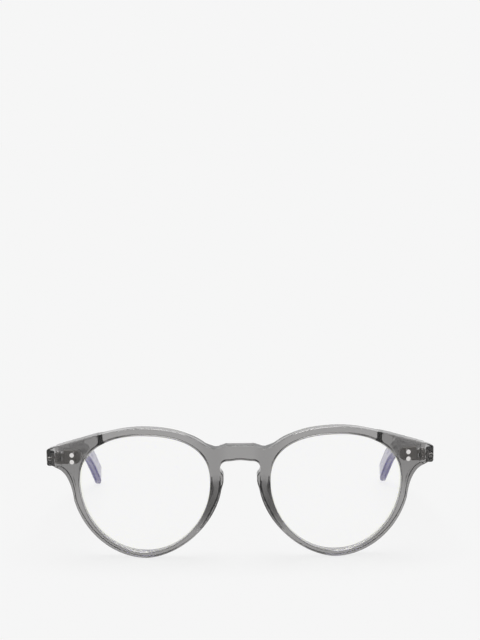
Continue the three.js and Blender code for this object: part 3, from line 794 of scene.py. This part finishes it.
# %% Lenses
EDGE_FACING = 0.85
lens = draw_out("lens_left_glass", [lens_ring(*row) for row in lens_rows])
lens.data.materials.append(LENS)
lens.data.materials.append(LENS_EDGE_FINISH)
for face in lens.data.polygons:
    face.material_index = int(abs(face.normal.y) < EDGE_FACING)
bend_over_drum(lens)
place(lens, front_frame)
finish_pair(lens, LENS, "front", "clear_lens", "lens_left")

# %% [markdown]
# ## Hinges in the endpieces
# Each hinge is a small plate of nickel silver with two barrels, sunk into the back of the endpiece
# and held by two rivets that run through the sheet. The acetate was pressed around it warm, so
# there is no air between the two, and the plate reads as a dark shape with crisp edges. Plate, arms
# and barrels are modelled apart and fused, as they are soldered.

# %% Places on the bent sheet
def on_front(across, depth, height):
    angle = across / FRONT_RADIUS
    reach = FRONT_RADIUS - depth
    spot = Vector((reach * math.sin(angle), FRONT_RADIUS - reach * math.cos(angle), height))
    return front_frame @ Matrix.Translation(spot) @ Matrix.Rotation(angle, 4, "Z")


# %% Turned pieces and barrels
ROUND_POINTS = 48
CHAMFER = 0.1 * MM
SCREW_RADIUS = 0.54 * MM


def circle(radius, height, points=ROUND_POINTS):
    turns = [2 * math.pi * step / points for step in range(points)]
    return [Vector((radius * math.cos(a), radius * math.sin(a), height)) for a in turns]


def turned(name, profile, ends="cap"):
    """A turned piece from its profile of radius and height, along Z."""
    return draw_out(name, [circle(radius, height) for radius, height in profile], ends)


def barrel(bottom, top):
    """A tube with its edges broken, drawn out and back through its bore to where it began."""
    outer, bore = KNUCKLE_RADIUS, SCREW_RADIUS + KNUCKLE_GAP
    profile = [(outer - CHAMFER, bottom), (outer, bottom + CHAMFER),
               (outer, top - CHAMFER), (outer - CHAMFER, top),
               (bore + CHAMFER, top), (bore, top - CHAMFER),
               (bore, bottom + CHAMFER), (bore + CHAMFER, bottom)]
    return turned("knuckle", profile + profile[:1], "weld")


# %% Plates with two cut corners
PLATE_CORNER = 1.1 * MM


def cut_corner_plate(name, length, height, thickness):
    """A plate in X and Z, its face at y = 0 and its thickness behind it."""
    x, z, corner = length / 2, height / 2, PLATE_CORNER
    corners = [(x, -z), (x, z), (corner - x, z), (-x, z - corner), (-x, corner - z),
               (corner - x, -z)]
    edge = [Vector(spot) for spot in corners]

    def ring(inset, depth):
        share = 1 - 2 * inset / height
        return [Vector((a.x * share, depth, a.y * share)) for a in edge]

    rows = [(CHAMFER, 0), (0, CHAMFER), (0, thickness - CHAMFER), (CHAMFER, thickness)]
    return draw_out(name, [ring(*row) for row in rows])


def solder(piece, part):
    """Puts a part made about the hinge's axis in its place, and fuses it to the piece."""
    place(part, hinge_frame)
    combine(piece, part, "UNION")


# %% Front halves of the hinges
RIVET_RADIUS, RIVET_SPACING, RIVET_HALF = 0.83 * MM, 2.45 * MM, END_HALF - 9.5 * MM
PLATE_LENGTH, PLATE_THICKNESS, PLATE_HALF = 5.9 * MM, 1.1 * MM, RIVET_HALF + 0.75 * MM
PLATE_HEIGHT = RIVET_SPACING + 2 * RIVET_RADIUS + 0.5 * MM
ARM_THICKNESS, ARM_SINK = 0.9 * MM, 0.5 * MM
PROUD = 0.03 * MM
arm_start, arm_front = PLATE_HALF - HINGE_HALF, -KNUCKLE_RADIUS - ARM_SINK
arm_back = ARM_THICKNESS - KNUCKLE_RADIUS
knuckle_step = KNUCKLE_HEIGHT + KNUCKLE_GAP

front_hinge = cut_corner_plate("hinge_front_left", PLATE_LENGTH, PLATE_HEIGHT,
                               PLATE_THICKNESS + BLOCK_RISE + PROUD)
place(front_hinge, on_front(PLATE_HALF, THICKNESS, HINGE_LINE)
      @ Matrix.Translation((0, -PLATE_THICKNESS, 0)))
for level in (-knuckle_step, knuckle_step):
    low, high = level - KNUCKLE_HEIGHT / 2, level + KNUCKLE_HEIGHT / 2
    solder(front_hinge, box_tool((arm_start, arm_front, low),
                                 (-SCREW_RADIUS - CHAMFER, arm_back, high)))
    solder(front_hinge, barrel(low, high))
solder(front_hinge, box_tool((arm_start, arm_front, -knuckle_step),
                             (-KNUCKLE_RADIUS - CHAMFER, arm_back, knuckle_step)))
finish_pair(front_hinge, HINGE_METAL, "front", "hinge_steel", "front_hinge_left", SMOOTH_METAL)

# %% [markdown]
# ## Rivets and screws
# A rivet is a short pin whose ends are ground flush and polished with the sheet, which leaves a low
# dome. The screw has a flat head with a slot. All are turned: a circle drawn out along its profile.
# A plain cylinder would lack the dome, which catches the light.

# %% Rivets of the front
RIVET_DOME, DOME_TURNS = 0.12 * MM, (12, 26, 40, 54, 66, 78, 90)


def rivet(name, length):
    """A pin along Y, from the top of its front dome at y = 0."""
    dome = [(RIVET_RADIUS * math.sin(a), RIVET_DOME * (1 - math.cos(a)))
            for a in (math.radians(turn) for turn in DOME_TURNS)]
    rear = [(radius, length - height) for radius, height in reversed(dome)]
    pin = turned(name, dome + rear)
    place(pin, Matrix.Rotation(-math.pi / 2, 4, "X"))
    return pin


for word, shift in (("upper", RIVET_SPACING / 2), ("lower", -RIVET_SPACING / 2)):
    pin = rivet("rivet_front_left_" + word, THICKNESS + BLOCK_RISE + PROUD + 2 * RIVET_DOME)
    place(pin, on_front(RIVET_HALF, -RIVET_DOME, HINGE_LINE + shift))
    finish_pair(pin, RIVET_METAL, "front", "rivet_steel", "front_rivet_left_" + word)

# %% Hinge screws
HEAD_RADIUS, HEAD_HEIGHT = 0.95 * MM, 0.45 * MM
SLOT_HALF, SLOT_REACH = 0.15 * MM, 2 * MM
head_seat = stack_half + KNUCKLE_GAP
head_top = head_seat + HEAD_HEIGHT
screw = turned("screw_left", [
    (SCREW_RADIUS - CHAMFER, -stack_half), (SCREW_RADIUS, CHAMFER - stack_half),
    (SCREW_RADIUS, head_seat), (HEAD_RADIUS, head_seat),
    (HEAD_RADIUS, head_top - CHAMFER), (HEAD_RADIUS - CHAMFER, head_top)])
slot = box_tool((-SLOT_REACH, -SLOT_HALF, head_seat + HEAD_HEIGHT / 2),
                (SLOT_REACH, SLOT_HALF, head_top + MM))
combine(screw, slot, "DIFFERENCE")
place(screw, hinge_frame)
finish_pair(screw, RIVET_METAL, "front", "rivet_steel", "hinge_screw_left", SMOOTH_METAL)

# %% [markdown]
# ## Temples
# A temple is a bar of the same acetate with rounded edges. It runs straight back, tapers a little
# to a waist, bends down behind the ear and ends in a half-round tip. Towards the tip it leans
# inward, to hold the head, and at the very end its inner face curves away. The bar is one section
# drawn out along that line, with its height changing on the way. Bending a finished bar would
# squeeze its section in the bend.

# %% Line and height of the temple
BUTT_HEIGHT, WAIST_HEIGHT = 5.8 * MM, 5.2 * MM
WAIST_FROM, WAIST_TO, TIP_FROM, TIP_TO = 0.04, 0.45, 0.6, 0.95


def temple_line(along):
    """Depth, height and fall at a distance along the middle of the temple."""
    if along < TEMPLE_STRAIGHT:
        return along, 0, 0
    fall = min((along - TEMPLE_STRAIGHT) / TEMPLE_BEND_RADIUS, TEMPLE_BEND)
    tail = max(along - TEMPLE_STRAIGHT - TEMPLE_BEND_RADIUS * TEMPLE_BEND, 0)
    return (TEMPLE_STRAIGHT + TEMPLE_BEND_RADIUS * math.sin(fall) + tail * math.cos(fall),
            -TEMPLE_BEND_RADIUS * (1 - math.cos(fall)) - tail * math.sin(fall), fall)


def temple_height(along):
    share = along / TEMPLE_LENGTH
    return (BUTT_HEIGHT + (WAIST_HEIGHT - BUTT_HEIGHT) * step_between(share, WAIST_FROM, WAIST_TO)
            + (TIP_HEIGHT - WAIST_HEIGHT) * step_between(share, TIP_FROM, TIP_TO))


tip_back, tip_level, _ = temple_line(TEMPLE_LENGTH)
print(f"Tip {1000 * tip_back:.1f} mm back and {-1000 * tip_level:.1f} mm down")

# %% Section of the temple
TEMPLE_ROUND, TOE_IN = 0.8 * MM, 6.5 * MM
TAPER_LENGTH, TAPER_LEFT = 7.5 * MM, 0.1
ROUND_LIMIT = 0.45  # of the section's smaller side


def section_at(along, section):
    """Puts a flat section, across and up, at its place along the temple."""
    y, z, fall = temple_line(along)
    toe_in = -TOE_IN * (max(along, 0) / TEMPLE_LENGTH) ** 3
    return [Vector((p.x + toe_in, y + p.y * math.sin(fall), z + p.y * math.cos(fall)))
            for p in section]


def rounded_section(thickness, height, radius, steps=5):
    points = []
    for quarter, (a, b) in enumerate(((1, 1), (-1, 1), (-1, -1), (1, -1))):
        middle = Vector((a * (thickness / 2 - radius), b * (height / 2 - radius)))
        for step in range(steps + 1):
            turn = math.pi / 2 * (quarter + step / steps)
            points.append(middle + radius * Vector((math.cos(turn), math.sin(turn))))
    return points


def temple_thickness(along):
    """The full thickness, which the inner face gives up in a curve at the very tip."""
    share = max(along - (TEMPLE_LENGTH + TIP_HEIGHT / 2 - TAPER_LENGTH), 0) / TAPER_LENGTH
    return TEMPLE_THICKNESS * (TAPER_LEFT + (1 - TAPER_LEFT) * math.sqrt(max(1 - share ** 2, 0)))


def temple_ring(along, height, end_round=0.0):
    """A section of the temple, its outer face kept straight; end_round thins the tip's edge."""
    thickness = temple_thickness(along)
    outward = Vector(((TEMPLE_THICKNESS - thickness) / 2, 0))
    thickness *= 1 - 2 * end_round / TEMPLE_THICKNESS
    radius = min(TEMPLE_ROUND, ROUND_LIMIT * height, ROUND_LIMIT * thickness)
    return section_at(along, [p + outward for p in rounded_section(thickness, height, radius)])


# %% Temples, drawn out from a stub that is then cut off upright
TEMPLE_STEPS, TIP_STEPS = 72, 12
STUB = 3 * MM
rings = [temple_ring(-STUB, BUTT_HEIGHT)]
for row in range(TEMPLE_STEPS + 1):
    along = TEMPLE_LENGTH * row / TEMPLE_STEPS
    rings.append(temple_ring(along, temple_height(along)))
for row in range(1, TIP_STEPS):
    turn = math.pi / 2 * row / TIP_STEPS
    left_over = TIP_HEIGHT / 2 * (1 - math.sin(turn))
    end_round = TEMPLE_ROUND - math.sqrt(TEMPLE_ROUND ** 2 - max(TEMPLE_ROUND - left_over, 0) ** 2)
    along = TEMPLE_LENGTH + TIP_HEIGHT / 2 * math.sin(turn)
    rings.append(temple_ring(along, TIP_HEIGHT * math.cos(turn), end_round))
temple = draw_out("acetate_temple_left", rings)
place(temple, temple_frame)
take(temple)
bpy.ops.object.mode_set(mode="EDIT")
bpy.ops.mesh.select_all(action="SELECT")
bpy.ops.mesh.bisect(plane_co=(0, hinge_axis.y - KNUCKLE_RADIUS, 0), plane_no=(0, 1, 0),
                    clear_inner=True, use_fill=True)
face_outward()
finish_pair(temple, ACETATE, "left_temple", "grey_acetate", "temple_left")

# %% [markdown]
# ## Metal in the temples
# The other half of the hinge is a plate sunk into the temple's inner face, with the middle barrel,
# which turns between the two of the front. Two rivets hold it, and behind it a thin wire is shot
# lengthwise into the warm bar, to stiffen it. All of it can be seen through the acetate, so it is
# modelled even where it is buried. The wire could be a bevelled curve, but drawn out along the
# temple's own line it stays in the middle of the bar.

# %% Temple halves of the hinges
TEMPLE_PLATE_LENGTH, TEMPLE_PLATE_HEIGHT, TEMPLE_PLATE_START = 8 * MM, 3.8 * MM, 1.7 * MM
inner_face = -TEMPLE_THICKNESS / 2
plate_middle = TEMPLE_PLATE_START + TEMPLE_PLATE_LENGTH / 2
temple_hinge = cut_corner_plate("hinge_temple_left", TEMPLE_PLATE_LENGTH, TEMPLE_PLATE_HEIGHT,
                                PLATE_THICKNESS + PROUD)
place(temple_hinge, temple_frame @ Matrix.Translation((inner_face - PROUD, plate_middle, 0))
      @ Matrix.Rotation(-math.pi / 2, 4, "Z"))
arm_end = BUTT_OUT + inner_face + PLATE_THICKNESS
solder(temple_hinge, box_tool((SCREW_RADIUS + CHAMFER, 0, -KNUCKLE_HEIGHT / 2),
                              (arm_end, KNUCKLE_RADIUS, KNUCKLE_HEIGHT / 2)))
solder(temple_hinge, barrel(-KNUCKLE_HEIGHT / 2, KNUCKLE_HEIGHT / 2))
finish_pair(temple_hinge, HINGE_METAL, "left_temple", "hinge_steel", "temple_hinge_left",
            SMOOTH_METAL)

# %% Rivets of the temples
TEMPLE_RIVET_SPACING = 3.9 * MM
for word, shift in (("front", -TEMPLE_RIVET_SPACING / 2), ("rear", TEMPLE_RIVET_SPACING / 2)):
    pin = rivet("rivet_temple_left_" + word, TEMPLE_THICKNESS + 2 * RIVET_DOME)
    spot = Matrix.Translation((TEMPLE_THICKNESS / 2 + RIVET_DOME, plate_middle + shift, 0))
    place(pin, temple_frame @ spot @ Matrix.Rotation(math.pi / 2, 4, "Z"))
    finish_pair(pin, RIVET_METAL, "left_temple", "rivet_steel", "temple_rivet_left_" + word)

# %% Core wires, as rows of share of the length and of the radius
WIRE_RADIUS, WIRE_LENGTH, WIRE_STEPS, WIRE_POINTS = 0.6 * MM, 108 * MM, 40, 16
WIRE_START = TEMPLE_PLATE_START + TEMPLE_PLATE_LENGTH + WIRE_RADIUS
rows = [(0, 0.75), (0.002, 1)]
rows += [(step / WIRE_STEPS, 1) for step in range(1, WIRE_STEPS)]
rows += [(0.998, 1), (1, 0.75)]
rings = []
for share, grow in rows:
    section = [p.xy for p in circle(WIRE_RADIUS * grow, 0, WIRE_POINTS)]
    rings.append(section_at(WIRE_START + WIRE_LENGTH * share, section))
wire = draw_out("wire_left", rings)
place(wire, temple_frame)
finish_pair(wire, RIVET_METAL, "left_temple", "rivet_steel", "core_wire_left")

# %% [markdown]
# ## Floor, light and camera
# The photograph shows the glasses on plain off-white with no horizon. Floor and world show that
# off-white wherever the camera, a reflection or a clear piece looks at them. What only lights is a
# weaker, even surround and one lamp above, so wide that it draws no hard glints on the polished
# rims. The floor is mostly its own glow, and the rest is lit paper, which takes the soft shadow.
# More light would also make it pale, but it would wash out the grey.

# %% Where a surface is seen, and where it only lights
OFF_WHITE = (0.9216, 0.9216, 0.9216, 1)


def seen_directly(tree):
    """1 where the camera, a reflection or a clear piece looks at it, and 0 where it only lights."""
    light_path = tree.nodes.new("ShaderNodeLightPath")
    result = light_path.outputs["Is Camera Ray"]
    for kind in ("Is Glossy Ray", "Is Transmission Ray"):
        most = tree.nodes.new("ShaderNodeMath")
        most.operation = "MAXIMUM"
        tree.links.new(result, most.inputs[0])
        tree.links.new(light_path.outputs[kind], most.inputs[1])
        result = most.outputs["Value"]
    return result


def mix_by(tree, share, lighting, seen, output):
    """Mixes the shader that only lights and the one that is seen, by a share, into the output."""
    mix = tree.nodes.new("ShaderNodeMixShader")
    tree.links.new(share, mix.inputs["Fac"])
    tree.links.new(lighting, mix.inputs[1])
    tree.links.new(seen, mix.inputs[2])
    tree.links.new(mix.outputs["Shader"], tree.nodes[output].inputs["Surface"])


# %% Floor
FLOOR_SIZE, FLOOR_GLOW = 30, 0.87
deselect()
bpy.ops.mesh.primitive_plane_add(size=FLOOR_SIZE, location=(0, 0, 0))
floor = bpy.context.object
floor.name = "floor"
floor_material, nodes, links, shader = new_material("floor_paper")
set_sockets(shader, {"Base Color": OFF_WHITE, "Roughness": 1, "Specular IOR Level": 0})
floor.data.materials.append(floor_material)
glow = nodes.new("ShaderNodeEmission")
glow.inputs["Color"].default_value = OFF_WHITE
glow_share = nodes.new("ShaderNodeMath")
glow_share.operation = "MULTIPLY"
glow_share.inputs[1].default_value = FLOOR_GLOW
links.new(seen_directly(floor_material.node_tree), glow_share.inputs[0])
mix_by(floor_material.node_tree, glow_share.outputs["Value"], shader.outputs["BSDF"],
       glow.outputs["Emission"], "Material Output")
print(f"Floor {FLOOR_SIZE} m square, with {FLOOR_GLOW:.0%} glow where it is seen")

# %% World
SURROUND_STRENGTH = 0.4
world = bpy.data.worlds.new("studio")
bpy.context.scene.world = world
world.use_nodes = True
tree = world.node_tree
background = tree.nodes["Background"]
background.inputs["Color"].default_value = OFF_WHITE
surround = tree.nodes.new("ShaderNodeBackground")
set_sockets(surround, {"Color": WHITE, "Strength": SURROUND_STRENGTH})
mix_by(tree, seen_directly(tree), surround.outputs["Background"],
       background.outputs["Background"], "World Output")
print("Even surround of strength", SURROUND_STRENGTH)

# %% Large soft lamp above
LAMP_TILT, LAMP_ENERGY, LAMP_SPREAD = -10, 1.9, 50
deselect()
bpy.ops.object.light_add(type="SUN", rotation=(math.radians(LAMP_TILT), 0, 0))
lamp = bpy.context.object
lamp.name = "soft_lamp"
lamp.data.energy = LAMP_ENERGY
lamp.data.angle = math.radians(LAMP_SPREAD)
print(f"Lamp of strength {LAMP_ENERGY}, {LAMP_SPREAD} degrees wide")

# %% Camera, at the photograph's distance and angle
CAMERA_DISTANCE, CAMERA_RISE, CAMERA_SIDE = 0.650, 0.024185, 0.00047
FOCAL_LENGTH, SENSOR_WIDTH = 104.5, 36
LOOKS_DOWN, ROLLS = 5.972, -0.6
along_temples = Vector((0, math.cos(slope), -math.sin(slope)))
above_temples = Vector((0, math.sin(slope), math.cos(slope)))
deselect()
bpy.ops.object.camera_add()
camera = bpy.context.object
camera.location = (datum - CAMERA_DISTANCE * along_temples + CAMERA_RISE * above_temples
                   + Vector((CAMERA_SIDE, 0, 0)))
camera.data.lens = FOCAL_LENGTH
camera.data.sensor_width = SENSOR_WIDTH
camera.rotation_euler = (math.radians(90 - LOOKS_DOWN), 0, 0)
camera.rotation_euler.rotate_axis("Z", math.radians(ROLLS))
camera.data.clip_start, camera.data.clip_end = 0.01, 100
bpy.context.scene.camera = camera
bpy.context.scene.view_settings.view_transform = "Standard"
print(f"Camera {CAMERA_DISTANCE:.2f} m away, looks down {LOOKS_DOWN:.1f} degrees")
